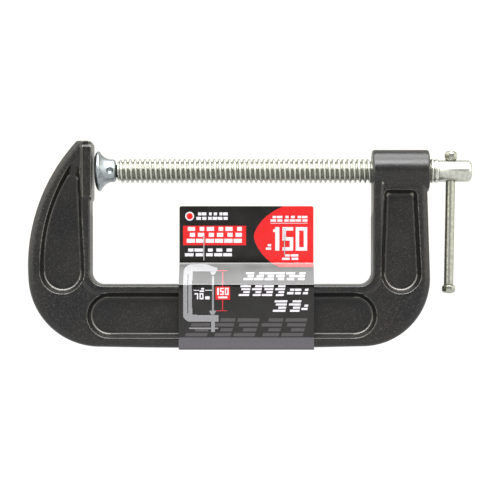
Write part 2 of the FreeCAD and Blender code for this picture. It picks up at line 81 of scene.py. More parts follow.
# Screw: the thread's crest crosses x = CREST_X straight below the axis
SCREW_Z = 107.9 * MM
PITCH = 3.0 * MM
CREST_X = -83.5 * MM
CREST_RADIUS = 7.4 * MM
ROOT_RADIUS = 5.5 * MM
CREST_HALF = 0.22 * MM      # half width of the crest before it rounds off
ROOT_START = 1.3 * MM       # distance from the crest's middle to the root
THREAD_X = (-80.5 * MM, 109.5 * MM)
THREAD_CHAMFER = 0.2 * MM   # how far below its root the thread starts at the pad's end
THREAD_ROWS = 12            # mesh rows in one pitch
THREAD_SEGMENTS = 48
NOSE_OVERLAP = 0.5 * MM     # how far the nose and the head reach into the thread's ends
HEAD_OVERLAP = 0.1 * MM
WELD = 0.001 * MM           # vertices closer than this are joined where the screw is cut

# Pad: the grid that it is rebuilt on, and smoothing passes
PAD_VOXEL = 0.22 * MM
PAD_SOFTENING = 3

# T-bar
BAR_X = 121.42 * MM         # the bar hangs off the middle of its loose hole
BAR_RADIUS = 2.85 * MM
BAR_LEAN = math.radians(1.05)
BAR_TOP = 120.1 * MM
BAR_LENGTH = 86.4 * MM
# Knob: distance from its outer end and radius, in mm, and how eight-sided it is
UPPER_KNOB = ((0.0, 0.6, 0), (0.12, 1.9, 0), (0.45, 2.75, 0.4), (1.2, 3.6, 1), (1.9, 3.8, 1), (4.0, 3.8, 1),
              (4.9, 3.6, 0.8), (5.5, 3.15, 0.3), (5.75, 2.9, 0))
LOWER_KNOB = ((0.0, 0.6, 0), (0.12, 2.1, 0), (0.45, 3.0, 0.4), (1.1, 3.85, 1), (1.6, 4.1, 1), (3.6, 4.1, 1),
              (4.4, 3.85, 0.8), (4.95, 3.2, 0.3), (5.05, 2.9, 0))
KNOB_FLAT = 0.95            # distance from the middle to a knob's flats, as a share of its radius
BAR_SEGMENTS = 64
BAR_MARGIN = BAR_RADIUS / 4     # a ring this far from each knob keeps the knob's bends off the bar

# Staples: node, and the crown's x and its lower and upper z
STAPLES = (("staple_left", -28.3 * MM, 53.6 * MM, 68.0 * MM),
           ("staple_right", 20.6 * MM, 57.2 * MM, 72.6 * MM))
STAPLE_WIRE = 0.6 * MM
STAPLE_OUT = 0.86 * MM      # from the middle of the closed card to the crown's centre line
STAPLE_BEND = 0.5 * MM
STAPLE_TIP = 0.42           # length of each folded tip as a share of the crown's
STAPLE_SPRING = 0.2 * MM    # how far the tips stand off
STAPLE_HOLE_SHADE = 0.55          # radius of the painted shade, a black disc standing for the dark hole round each staple's upper end, in mm
WIRE_SIDES = 12

# Card, in mm: its ends along the clamp, and the centre line of its section from the top of a leaf to
# the underside as (y, z, bend radius)
CARD_X = (-43.1, 38.2)
CARD_SIDE = [(-0.285, 86.6, 0.0), (-0.285, 52.0, 3.0), (-12.075, 39.3, 3.0), (-12.075, 0.225, 1.2)]
CARD_WIDTH = CARD_X[1] - CARD_X[0]
CARD_HEIGHT = CARD_SIDE[0][1]
CARD_THICKNESS = 0.45 * MM
CARD_GRID = 4.0 * MM        # largest spacing of the card's mesh
CARD_ROUND = 1.2 * MM       # rounded corners of the card's free ends
GREY_FOOT = 7.5 * MM        # height of the grey band along the card's lower edge
ARC_STEPS = 6               # straight pieces in a rounded corner

# Enamel. Bends are in 1/mm, positive on outside corners, and run from no effect to the full effect.
ENAMEL_GREY = (0.0045, 0.0045, 0.0052)
ENAMEL_BROWN = (0.0075, 0.0058, 0.0036)
ENAMEL_PITS = (0.0012, 0.0012, 0.0012)
ENAMEL_SPECKS = (0.026, 0.024, 0.02)
ENAMEL_ROUGHNESS = (0.29, 0.38)
ENAMEL_IOR = 1.48
FOOT_HIGHLIGHT = ((0.3, 0.285, 0.24), (0.9, 0.88, 0.78))     # painted highlight along inside corners: where they face down or sideways, and where they face up
FOOT_BEND = (-0.24, -0.55)
FACING_UP = (0.05, 0.6)     # how far upward a surface faces as the painted highlight turns bright
# painted highlight along outside edges
EDGE_HIGHLIGHT = (0.16, 0.155, 0.13)
EDGE_BEND = (0.35, 0.85)

# Plating: brighter and duller colour, lowest and highest roughness, strength of the uneven surface
PLATING = {"screw_plating": ((0.57, 0.575, 0.52), (0.4, 0.41, 0.36), (0.3, 0.4), 1.0),
           "pad_plating": ((0.33, 0.365, 0.38), (0.24, 0.265, 0.275), (0.32, 0.44), 1.0),
           "bar_plating": ((0.39, 0.395, 0.34), (0.28, 0.285, 0.238), (0.28, 0.4), 1.0),
           "staple_plating": ((0.6, 0.6, 0.6), (0.45, 0.45, 0.45), (0.2, 0.3), 0.3),
           "ball_steel": ((0.6, 0.6, 0.6), (0.5, 0.5, 0.5), (0.12, 0.2), 0.3)}
GROOVE_BEND = (-0.17, -0.8)
GROOVE_SHADE_SHARE = 0.5          # painted shade: colour at the bottom of a groove as a share of the duller colour

# Printed card
INK_ROUGHNESS = (0.15, 0.24)
INK_IOR = 1.62              # high, for the varnish's shine
INK_SHARE = 0.8             # darkest part of an ink's faint screen as a share of its colour


# ---------------------------------------------------------------- helpers

def link(obj):
    """Put a new object in the scene."""
    bpy.context.scene.collection.objects.link(obj)
    return obj


def piece(name, mesh, body, slot, *materials):
    """New object that rides on a body."""
    obj = link(bpy.data.objects.new(name, mesh))
    for material in materials:
        mesh.materials.append(material)
    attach(obj, body)
    return obj


def shade(mesh, sharp_deg):
    """Smooth shading that keeps edges sharper than an angle."""
    mesh.shade_smooth()
    mesh.set_sharp_from_angle(angle=math.radians(sharp_deg))


def mesh_from(name, bm):
    """Mesh made from a bmesh, which is freed."""
    mesh = bpy.data.meshes.new(name)
    bm.to_mesh(mesh)
    bm.free()
    return mesh


def apply_modifiers(obj):
    """Replace an object's mesh with what its modifiers make of it."""
    graph = bpy.context.evaluated_depsgraph_get()
    mesh = bpy.data.meshes.new_from_object(obj.evaluated_get(graph))
    obj.modifiers.clear()
    obj.data = mesh


class Finish:
    """A material, with short calls for the shader nodes it needs. Lengths are in metres."""

    def __init__(self, name, metallic=0.0):
        self.material = bpy.data.materials.new(name)
        self.material.use_nodes = True
        self.tree = self.material.node_tree
        self.shader = self.tree.nodes["Principled BSDF"]
        self.shader.inputs["Metallic"].default_value = metallic
        self.place = self.node("ShaderNodeTexCoord").outputs["Object"]

    def node(self, kind, inputs=None, **settings):
        """New node with settings, and with inputs that are values or other nodes' outputs."""
        node = self.tree.nodes.new(kind)
        for name, value in settings.items():
            setattr(node, name, value)
        for name, value in (inputs or {}).items():
            self.feed(node.inputs[name], value)
        return node

    def feed(self, socket, value):
        """Link an output to a socket, or set the socket's own value."""
        if isinstance(value, bpy.types.NodeSocket):
            self.tree.links.new(value, socket)
        else:
            socket.default_value = value

    def noise(self, size, detail):
        """Noise from 0 to 1 with features of about a size."""
        inputs = {"Vector": self.place, "Scale": 1.0 / size, "Detail": detail}
        return self.node("ShaderNodeTexNoise", inputs).outputs["Fac"]

    def span(self, value, low, high, to_low=0.0, to_high=1.0):
        """Value between low and high, carried over to another range and held at its ends."""
        inputs = {"Value": value, "From Min": low, "From Max": high, "To Min": to_low, "To Max": to_high}
        return self.node("ShaderNodeMapRange", inputs).outputs["Result"]

    def blend(self, factor, colour, other):
        """Mix of two colours, each a tuple or an output."""
        mix = self.node("ShaderNodeMix", data_type="RGBA")
        self.feed(mix.inputs["Factor"], factor)
        for socket, value in zip([s for s in mix.inputs if s.type == "RGBA"], (colour, other)):
            self.feed(socket, (*value, 1.0) if isinstance(value, tuple) else value)
        return [s for s in mix.outputs if s.type == "RGBA"][0]

    def paint(self, colour, roughness):
        """Give the shader a colour and a roughness."""
        self.feed(self.shader.inputs["Base Color"], colour)
        self.feed(self.shader.inputs["Roughness"], roughness)

    def bump(self, *layers):
        """Relief from (height, distance) layers, coarse to fine."""
        normal = None
        for height, distance in layers:
            inputs = {"Height": height, "Distance": distance}
            if normal:
                inputs["Normal"] = normal
            normal = self.node("ShaderNodeBump", inputs).outputs["Normal"]
        self.feed(self.shader.inputs["Normal"], normal)


# ---------------------------------------------------------------- stage

def camera():
    """Camera straight in front, with a narrow view as from a metre away."""
    data = bpy.data.cameras.new("camera")
    data.sensor_width = SENSOR
    data.lens = SENSOR * -CAMERA_PLACE[1] / VIEW_WIDTH
    data.clip_start, data.clip_end = CLIP
    obj = link(bpy.data.objects.new("camera", data))
    obj.location = CAMERA_PLACE
    obj.rotation_euler = (math.pi / 2, 0.0, 0.0)
    bpy.context.scene.camera = obj


def floor():
    """Plain pale floor like a light table, wide enough to reach past every view."""
    half = FLOOR_HALF
    corners = [(-half, -half, 0), (half, -half, 0), (half, half, 0), (-half, half, 0)]
    mesh = bpy.data.meshes.new("floor")
    mesh.from_pydata(corners, [], [(0, 1, 2, 3)])
    finish = Finish("floor")
    finish.shader.inputs["Base Color"].default_value = FLOOR_COLOUR
    finish.shader.inputs["Roughness"].default_value = 1.0
    finish.shader.inputs["Specular IOR Level"].default_value = 0.0
    finish.shader.inputs["Emission Color"].default_value = (1.0, 1.0, 1.0, 1.0)
    finish.shader.inputs["Emission Strength"].default_value = FLOOR_GLOW
    mesh.materials.append(finish.material)
    link(bpy.data.objects.new("floor", mesh))


def soft_light(name, place, size, brightness):
    """Rectangular soft box that faces the clamp. Its brightness is relative to a white surface."""
    data = bpy.data.lights.new(name, "AREA")
    data.shape = "RECTANGLE"
    data.size, data.size_y = size
    data.energy = brightness * math.pi * size[0] * size[1]
    obj = link(bpy.data.objects.new(name, data))
    obj.location = place
    obj.rotation_euler = (Vector(LIGHT_AIM) - Vector(place)).to_track_quat("-Z", "Y").to_euler()


def ramp(tree, source, edge, to_low, to_high):
    """Value that changes from one level to another as the source passes over an edge."""
    node = tree.nodes.new("ShaderNodeMapRange")
    for name, value in zip(("From Min", "From Max", "To Min", "To Max"), (*edge, to_low, to_high)):
        node.inputs[name].default_value = value
    tree.links.new(source, node.inputs["Value"])
    return node.outputs["Result"]


def combine(tree, operation, *sources):
    """Result of a Math node's operation."""
    node = tree.nodes.new("ShaderNodeMath")
    node.operation = operation
    for source, socket in zip(sources, node.inputs):
        tree.links.new(source, socket)
    return node.outputs[0]


def room():
    """World light: bright sides, a dimmer far end with a white backdrop, and a dark gap at the camera."""
    world = bpy.data.worlds.new("studio")
    world.use_nodes = True
    bpy.context.scene.world = world
    tree = world.node_tree
    split = tree.nodes.new("ShaderNodeSeparateXYZ")
    tree.links.new(tree.nodes.new("ShaderNodeTexCoord").outputs["Generated"], split.inputs[0])
    sideways = combine(tree, "ABSOLUTE", split.outputs["X"])
    backwards = split.outputs["Y"]
    sides = ramp(tree, sideways, GAP_EDGE, GAP_BRIGHTNESS, SIDE_BRIGHTNESS)
    dimming = ramp(tree, backwards, BEHIND_EDGE, 1.0, BEHIND_BRIGHTNESS / SIDE_BRIGHTNESS)
    behind = ramp(tree, backwards, BEHIND_EDGE, 0.0, BEHIND_BRIGHTNESS)
    backdrop = ramp(tree, backwards, BACKDROP_EDGE, 0.0, BACKDROP_BRIGHTNESS)
    far_end = combine(tree, "MAXIMUM", behind, backdrop)
    strength = combine(tree, "MAXIMUM", combine(tree, "MULTIPLY", sides, dimming), far_end)
    background = tree.nodes["Background"]
    tree.links.new(strength, background.inputs["Strength"])
    background.inputs["Color"].default_value = ROOM_COLOUR


def studio():
    """The room and its soft boxes."""
    room()
    for name, place, size, brightness in SOFT_BOXES:
        soft_light(name, place, size, brightness)
    bpy.context.scene.view_settings.view_transform = "Standard"


# ---------------------------------------------------------------- materials

def enamel():
    """Black enamel over a sand casting, with grain and brownish patches, and painted highlights: light lines
    along its outside edges and in its inside corners, brighter where the corners face up.
    """
    finish = Finish("black_enamel")
    patches = finish.noise(26 * MM, 3.0)
    grain = finish.noise(0.9 * MM, 4.0)
    skin = finish.noise(3.2 * MM, 2.0)
    ground = finish.blend(finish.span(patches, 0.4, 0.62), ENAMEL_GREY, ENAMEL_BROWN)
    ground = finish.blend(finish.span(grain, 0.36, 0.56), ENAMEL_PITS, ground)
    ground = finish.blend(finish.span(grain, 0.56, 0.72), ground, ENAMEL_SPECKS)
    bend = finish.node("ShaderNodeAttribute", attribute_name="bend").outputs["Fac"]
    normal = finish.node("ShaderNodeNewGeometry").outputs["Normal"]
    upward = finish.node("ShaderNodeSeparateXYZ", {"Vector": normal}).outputs["Z"]
    # painted highlight: a light line in inside corners, brighter where they face up
    line = finish.blend(finish.span(upward, *FACING_UP), *FOOT_HIGHLIGHT)
    foot = finish.blend(finish.span(bend, *FOOT_BEND), ground, line)
    # painted highlight: a light line along outside edges
    edge = finish.blend(finish.span(bend, *EDGE_BEND), foot, EDGE_HIGHLIGHT)
    finish.paint(edge, finish.span(patches, 0.35, 0.65, *ENAMEL_ROUGHNESS))
    finish.shader.inputs["IOR"].default_value = ENAMEL_IOR
    finish.bump((skin, 0.035 * MM), (grain, 0.03 * MM))
    return finish.material


def plating(name):
    """Zinc plating: duller clouds, a fine uneven surface, and painted shade, a darker colour in grooves."""
    bright, dull, roughness, strength = PLATING[name]
    finish = Finish(name, metallic=1.0)
    clouds = finish.noise(2.6 * MM, 4.0)
    fine = finish.noise(0.35 * MM, 2.0)
    colour = finish.blend(finish.span(clouds, 0.38, 0.66), bright, dull)
    bend = finish.node("ShaderNodeAttribute", attribute_name="bend").outputs["Fac"]
    # painted shade: a darker colour at the bottom of grooves
    groove = tuple(GROOVE_SHADE_SHARE * c for c in dull)
    finish.paint(finish.blend(finish.span(bend, *GROOVE_BEND), colour, groove),
                 finish.span(clouds, 0.35, 0.7, *roughness))
    finish.bump((clouds, 0.05 * strength * MM), (fine, 0.012 * strength * MM))
    return finish.material


def ink(name, colour):
    """Printed and varnished card: a fine paper tooth and a faint screen in the colour."""
    finish = Finish(name)
    tooth = finish.noise(0.5 * MM, 2.0)
    drift = finish.noise(14 * MM, 1.0)
    dimmed = tuple(INK_SHARE * c for c in colour)
    finish.paint(finish.blend(finish.span(tooth, 0.35, 0.65), colour, dimmed),
                 finish.span(drift, 0.3, 0.7, *INK_ROUGHNESS))
    finish.shader.inputs["IOR"].default_value = INK_IOR
    finish.bump((drift, 0.08 * MM), (tooth, 0.006 * MM))
    return finish.material


def mark_bends(mesh):
    """Store how sharply the surface bends at each vertex, in 1/mm: positive on outside corners."""
    bm = bmesh.new()
    bm.from_mesh(mesh)
    bends = []
    for vert in bm.verts:
        total = 0.0
        for edge in vert.link_edges:
            other = edge.other_vert(vert)
            along = other.co - vert.co
            total += (other.normal - vert.normal).dot(along) / max(along.length_squared, TINY ** 2)
        bends.append(total / max(len(vert.link_edges), 1) * MM)
    bm.free()
    mesh.attributes.new("bend", "FLOAT", "POINT").data.foreach_set("value", bends)


# ---------------------------------------------------------------- casting

def casting():
    """The frame with softened cast edges."""
    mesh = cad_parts["frame"].data.copy()
    mesh.materials.clear()
    obj = piece("casting", mesh, "frame", "cast_frame")
    grid = obj.modifiers.new("grid", "REMESH")
    grid.mode = "VOXEL"
    grid.voxel_size = VOXEL
    apply_modifiers(obj)
    for vert in obj.data.vertices:
        vert.co = drafted(vert.co)
    group = obj.vertex_groups.new(name="thick_enamel")
    group.add([v.index for v in obj.data.vertices if thick_enamel(v.co)], 1.0, "REPLACE")
    soften(obj, CAST_SOFTENING, "")
    soften(obj, EDGE_SOFTENING, group.name)
    apply_modifiers(obj)
    thin = obj.modifiers.new("thin", "DECIMATE")
    thin.ratio = CAST_TRIANGLES / (2 * len(obj.data.polygons))
    apply_modifiers(obj)
    obj.data.shade_smooth()
    mark_bends(obj.data)
    obj.data.materials.append(enamel())
    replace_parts(obj, "frame")


def soften(obj, passes, group):
    """Smoothing passes over the vertices of a group, or over all of them."""
    modifier = obj.modifiers.new("soften", "SMOOTH")
    modifier.factor = 0.5
    modifier.iterations = passes
    modifier.vertex_group = group


def thick_enamel(point):
    """True where edges are well rounded: not on the anvil and not at the foot of the rib."""
    if ANVIL_X[0] < point.x < ANVIL_X[1] and point.z > ANVIL_LOW_Z:
        return False
    low, high = RIB_FOOT
    return not low < beyond_opening(point)[0] < high


def beyond_opening(point):
    """Distance from the opening's wall into the casting, and the direction that leads there in x and z."""
    left, right, bottom, radius = OPENING
    across = max(point.x - right + radius, 0.0) - max(left + radius - point.x, 0.0)
    down = min(point.z - bottom - radius, 0.0)
    reach = math.hypot(across, down)
    if reach < TINY:
        return -radius, (0.0, 0.0)
    return reach - radius, (across / reach, down / reach)


def drafted(point):
    """Point of the casting moved into the opening by the mould's draft, most at the parting line."""
    depth, (across, down) = beyond_opening(point)
    if depth > DRAFT_DEPTH or depth < -DRAFT_DEPTH / 3:
        return point
    below_top = min(1.0, max(0.0, (DRAFT_TOP - point.z) / DRAFT_FADE))
    near_wall = 1 - max(depth, 0.0) / DRAFT_DEPTH
    near_middle = max(0.0, 1 - abs(point.y) / RIB_HALF)
    push = MOULD_DRAFT * below_top * near_wall * near_middle
    return Vector((point.x - across * push, point.y, point.z - down * push))


# ---------------------------------------------------------------- screw

def thread_radius(row):
    """Radius of the thread on a mesh row, counted from a crest."""
    offset = abs((row / THREAD_ROWS + 0.5) % 1.0 - 0.5) * PITCH
    rise = min(1.0, max(0.0, (ROOT_START - offset) / (ROOT_START - CREST_HALF)))
    return ROOT_RADIUS + (CREST_RADIUS - ROOT_RADIUS) * rise * rise * (3 - 2 * rise)


def thread():
    """Rounded thread whose mesh rows follow its crest, chamfered at the pad's end and closed at both."""
    low, high = THREAD_X
    first = math.floor((low - CREST_X) / PITCH) - 1
    rows = (math.ceil((high - low) / PITCH) + 4) * THREAD_ROWS
    bm = bmesh.new()
    grid = []
    for row in range(rows):
        for i in range(THREAD_SEGMENTS):
            turn = i / THREAD_SEGMENTS
            x = CREST_X + PITCH * (first + row / THREAD_ROWS + turn)
            chamfer = max(ROOT_RADIUS - PITCH, ROOT_RADIUS - THREAD_CHAMFER + x - low)
            radius = min(thread_radius(row), chamfer)
            angle = 2 * math.pi * turn
            grid.append(bm.verts.new((x, radius * math.sin(angle), SCREW_Z - radius * math.cos(angle))))
    step = THREAD_SEGMENTS
    for row in range(rows - THREAD_ROWS - 1):
        for i in range(step):
            beside = row * step + i + 1 if i + 1 < step else (row + THREAD_ROWS) * step
            here = row * step + i
            bm.faces.new([grid[here], grid[here + step], grid[beside + step], grid[beside]])
    trim(bm, low, -1)
    trim(bm, high, 1)
    return bm


def trim(bm, x, side):
    """Cut away what lies on one side of a plane across the screw, then weld the rest and close the cut."""
    bmesh.ops.remove_doubles(bm, verts=bm.verts[:], dist=WELD)
    everything = bm.verts[:] + bm.edges[:] + bm.faces[:]
    bmesh.ops.bisect_plane(bm, geom=everything, dist=WELD, plane_co=(x, 0, 0), plane_no=(side, 0, 0),
                           clear_outer=True)
    bmesh.ops.remove_doubles(bm, verts=bm.verts[:], dist=WELD)
    loose = [v for v in bm.verts if not v.link_faces]
    bmesh.ops.delete(bm, geom=loose, context="VERTS")
    rim = [e for e in bm.edges if e.is_boundary and all(abs(v.co.x - x) < 2 * WELD for v in e.verts)]
    bmesh.ops.holes_fill(bm, edges=rim, sides=0)


def screw():
    """The nose and the head from the CAD model, with the rounded thread between them."""
    bm = thread()
    for x, side in ((THREAD_X[0] + NOSE_OVERLAP, 1), (THREAD_X[1] - HEAD_OVERLAP, -1)):
        end = bmesh.new()
        end.from_mesh(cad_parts["screw"].data)
        trim(end, x, side)
        part = mesh_from("screw_end", end)
        bm.from_mesh(part)
        bpy.data.meshes.remove(part)
    bmesh.ops.recalc_face_normals(bm, faces=bm.faces)
    mesh = mesh_from("screw", bm)
    shade(mesh, sharp_deg=50)
    mark_bends(mesh)
    finish = plating("screw_plating")
    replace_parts(piece("spindle", mesh, "screw", "plated_steel", finish), "screw")


# ---------------------------------------------------------------- pad end

def swivel_pad():
    """The pad with its turned edges softened."""
    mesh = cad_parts["swivel_pad"].data.copy()
    mesh.materials.clear()
    obj = piece("pad", mesh, "swivel_pad", "plated_pad")
    grid = obj.modifiers.new("grid", "REMESH")
    grid.mode = "VOXEL"
    grid.voxel_size = PAD_VOXEL
    soften(obj, PAD_SOFTENING, "")
    apply_modifiers(obj)
    obj.data.shade_smooth()
    mark_bends(obj.data)
    obj.data.materials.append(plating("pad_plating"))
    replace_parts(obj, "swivel_pad")


# ---------------------------------------------------------------- T-bar

def t_bar():
    """Round bar with an eight-sided knob on each end, leaning in its hole."""
    bottom = BAR_TOP - BAR_LENGTH
    rings = [(BAR_TOP - d * MM, r * MM, facet) for d, r, facet in UPPER_KNOB]
    lower = [(bottom + d * MM, r * MM, facet) for d, r, facet in reversed(LOWER_KNOB)]
    top, foot = rings[-1][0], lower[0][0]
    rings += [(z, BAR_RADIUS, 0) for z in (top, top - BAR_MARGIN, foot + BAR_MARGIN, foot)]
    bm = bmesh.new()
    loops = [ring(bm, *values) for values in rings + lower]
    for above, below in zip(loops, loops[1:]):
        for i in range(BAR_SEGMENTS):
            j = (i + 1) % BAR_SEGMENTS
            bm.faces.new([above[i], below[i], below[j], above[j]])
    bm.faces.new(loops[0])
    bm.faces.new(reversed(loops[-1]))
    bmesh.ops.recalc_face_normals(bm, faces=bm.faces)
    middle = Matrix.Translation((BAR_X, 0, SCREW_Z))
    bm.transform(middle @ Matrix.Rotation(BAR_LEAN, 4, "Y") @ middle.inverted())
    mesh = mesh_from("bar", bm)
    shade(mesh, sharp_deg=30)
    mark_bends(mesh)
    finish = plating("bar_plating")
    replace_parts(piece("bar", mesh, "t_bar", "plated_bar", finish), "t_bar")


def ring(bm, z, radius, facet):
    """Ring of vertices round the bar: round, eight-sided or in between."""
    verts = []
    eighth = math.pi / 4
    for i in range(BAR_SEGMENTS):
        angle = 2 * math.pi * i / BAR_SEGMENTS
        flat = KNOB_FLAT / math.cos((angle + eighth / 2) % eighth - eighth / 2)
        r = radius * (1 + facet * (flat - 1))
        verts.append(bm.verts.new((BAR_X + r * math.cos(angle), r * math.sin(angle), z)))
    return verts


# ---------------------------------------------------------------- staples

def staple_path(low_z, high_z):
    """Centre line of a staple in y and z: a tip, a leg, the crown, a leg and a tip."""
    out = STAPLE_OUT
    sprung = out + STAPLE_SPRING
    tip = STAPLE_TIP * (high_z - low_z)
    corners = [Vector(c) for c in ((sprung, low_z + tip), (out, low_z), (-out, low_z), (-out, high_z),
                                   (out, high_z), (sprung, high_z - tip))]
    path = [corners[0]]
    for before, corner, after in zip(corners, corners[1:], corners[2:]):
        path += rounded_corner(before, corner, after, STAPLE_BEND)
    return path + [corners[-1]]


def wire_ring(bm, x, place, along):
    """Ring of vertices round the wire at a place on its centre line."""
    radius = STAPLE_WIRE / 2
    across = Vector((-along.y, along.x))
    verts = []
    for i in range(WIRE_SIDES):
        angle = 2 * math.pi * i / WIRE_SIDES
        middle = place + across * (radius * math.sin(angle))
        verts.append(bm.verts.new((x + radius * math.cos(angle), middle.x, middle.y)))
    return verts


def staple(name, x, low_z, high_z, finish):
    """Bent wire through the card: crown in front, legs through it and tips folded in behind."""
    path = staple_path(low_z, high_z)
    bm = bmesh.new()
    loops = []
    for i, place in enumerate(path):
        along = (path[min(i + 1, len(path) - 1)] - path[max(i - 1, 0)]).normalized()
        loops.append(wire_ring(bm, x, place, along))
    for a, b in zip(loops, loops[1:]):
        for i in range(WIRE_SIDES):
            j = (i + 1) % WIRE_SIDES
            bm.faces.new([a[i], b[i], b[j], a[j]])
    bm.faces.new(loops[0])
    bm.faces.new(reversed(loops[-1]))
    bmesh.ops.recalc_face_normals(bm, faces=bm.faces)
    mesh = mesh_from(name + "_wire", bm)
    shade(mesh, sharp_deg=50)
    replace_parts(piece(name + "_wire", mesh, "sleeve", "staple_wire", finish), name)


# ---------------------------------------------------------------- card sleeve

BLACK, RED, WHITE, PALE, GREY, DARK, PAPER = range(7)
INKS = (("card_black", (0.002, 0.0014, 0.001)), ("card_red", (0.45, 0.006, 0.007)),
        ("card_white", (0.5, 0.48, 0.52)), ("card_pale", (0.17, 0.17, 0.18)),
        ("card_grey", (0.06, 0.056, 0.064)), ("card_dark", (0.042, 0.038, 0.04)),
        ("card_paper", (0.45, 0.44, 0.42)))

# The print is laid out in mm: u from the left edge of the side that it is on, and z above the ground
RED_EDGE = ((62.9, 86.6), (57.6, 83.9), (53.1, 80.8), (49.9, 77.8), (47.3, 74.2), (45.6, 70.6), (45.2, 68.0),
            (45.7, 65.1), (47.6, 61.2), (50.1, 57.6), (52.6, 54.9), (55.4, 52.6), (60.6, 49.6))
# Strokes of each plain block numeral
NUMERALS = {"0": ("left", "right", "top", "bottom"), "1": ("right",),
            "5": ("top", "upper_left", "middle", "lower_right", "bottom"), "7": ("top", "right")}
# Bars that stand for writing: their uneven starts and their end as shares of a cell's width, and the
# distance from one to the next as a multiple of their height
WRITING_INSETS = (0.0, 0.34, 0.12, 0.0, 0.22, 0.4, 0.06, 0.28)
WRITING_END = 0.9
WRITING_PITCH = 1.5


def box(u0, z0, u1, z1, slant=0.0):
    """Rectangle in the print's layout, or a parallelogram leaning over by a slant."""
    lean = slant * (z1 - z0)
    return [(u0, z0), (u1, z0), (u1 + lean, z1), (u0 + lean, z1)]


def disc(u, z, radius, sides=24):
    """Circle in the print's layout."""
    angles = [2 * math.pi * i / sides for i in range(sides)]
    return [(u + radius * math.cos(a), z + radius * math.sin(a)) for a in angles]


def bars(u0, z0, u1, z1, cells, rows, slant=0.0):
    """Plain bars of uneven length that stand for a line of writing."""
    shapes = []
    width = (u1 - u0) / cells
    height = (z1 - z0) / (WRITING_PITCH * (rows - 1) + 1)
    for cell in range(cells):
        for row in range(rows):
            inset = WRITING_INSETS[(cell * rows + row) % len(WRITING_INSETS)] * width
            low = z0 + WRITING_PITCH * row * height
            left = u0 + cell * width + slant * (low - z0)
            shapes.append(box(left + inset, low, left + WRITING_END * width, low + height, slant))
    return shapes


def numeral(digit, u, z, width, height, stroke):
    """Plain block numeral."""
    half = z + height / 2
    top = z + height
    right = u + width
    strokes = {"left": box(u, z, u + stroke, top),
               "right": box(right - stroke, z, right, top),
               "top": box(u, top - stroke, right, top),
               "bottom": box(u, z, right, z + stroke),
               "middle": box(u, half - stroke / 2, right, half + stroke / 2),
               "upper_left": box(u, half, u + stroke, top),
               "lower_right": box(right - stroke, z, right, half)}
    return [strokes[name] for name in NUMERALS[digit]]


def red_panel():
    """Red corner panel with a curved left edge."""
    return list(RED_EDGE) + [(CARD_WIDTH, RED_EDGE[-1][1]), (CARD_WIDTH, CARD_HEIGHT)]


def front_print():
    """Shapes of the front's print in the order they are laid down, each with its ink."""
    layers = [(RED, [red_panel(), box(2.2, 62.9, 40.4, 74.7)])]
    layers.append((WHITE, [disc(6.2, 80.5, 2.7)]))
    layers.append((RED, [disc(6.2, 80.5, 1.9)]))
    layers.append((WHITE, bars(10.2, 78.3, 29.6, 82.8, 6, 2)))
    for u in (4.4, 15.9, 27.2):
        layers.append((WHITE, bars(u, 64.4, u + 11.2, 74.0, 2, 3)))
    layers.append((WHITE, bars(3.3, 56.2, 32.4, 60.9, 5, 2)))
    layers.append((WHITE, bars(55.2, 77.2, 78.0, 80.7, 6, 2) + [box(55.2, 76.1, 77.9, 76.4)]))
    layers.append((WHITE, numeral("1", 57.9, 59.6, 2.7, 14.3, 2.5) + [box(56.9, 70.9, 58.0, 72.6)]))
    layers.append((WHITE, numeral("5", 62.5, 59.6, 6.5, 14.3, 2.1)))
    layers.append((WHITE, numeral("0", 70.5, 59.6, 7.0, 14.3, 2.1)))
    layers.append((WHITE, bars(52.4, 60.1, 56.0, 63.6, 1, 2) + bars(62.3, 54.0, 72.6, 57.4, 2, 2)))
    layers.append((WHITE, bars(38.9, 41.8, 76.0, 46.4, 6, 3, 0.2)))
    layers.append((WHITE, bars(35.9, 32.4, 63.6, 38.8, 4, 4, 0.2) + bars(64.9, 33.4, 77.8, 36.8, 3, 2, 0.2)))
    layers.append((WHITE, bars(56.4, 22.9, 73.2, 29.8, 2, 4, 0.2) + bars(73.6, 24.0, 77.6, 27.2, 1, 2, 0.2)))
    layers.append((DARK, bars(3.9, 8.2, 75.8, 19.0, 5, 4, 0.28)))
    # painted shade: a black disc round each staple's upper end, standing for its dark hole
    holes = [disc(x / MM - CARD_X[0], high_z / MM, STAPLE_HOLE_SHADE, 10) for _, x, _, high_z in STAPLES]
    return layers + drawing() + [(BLACK, holes)]


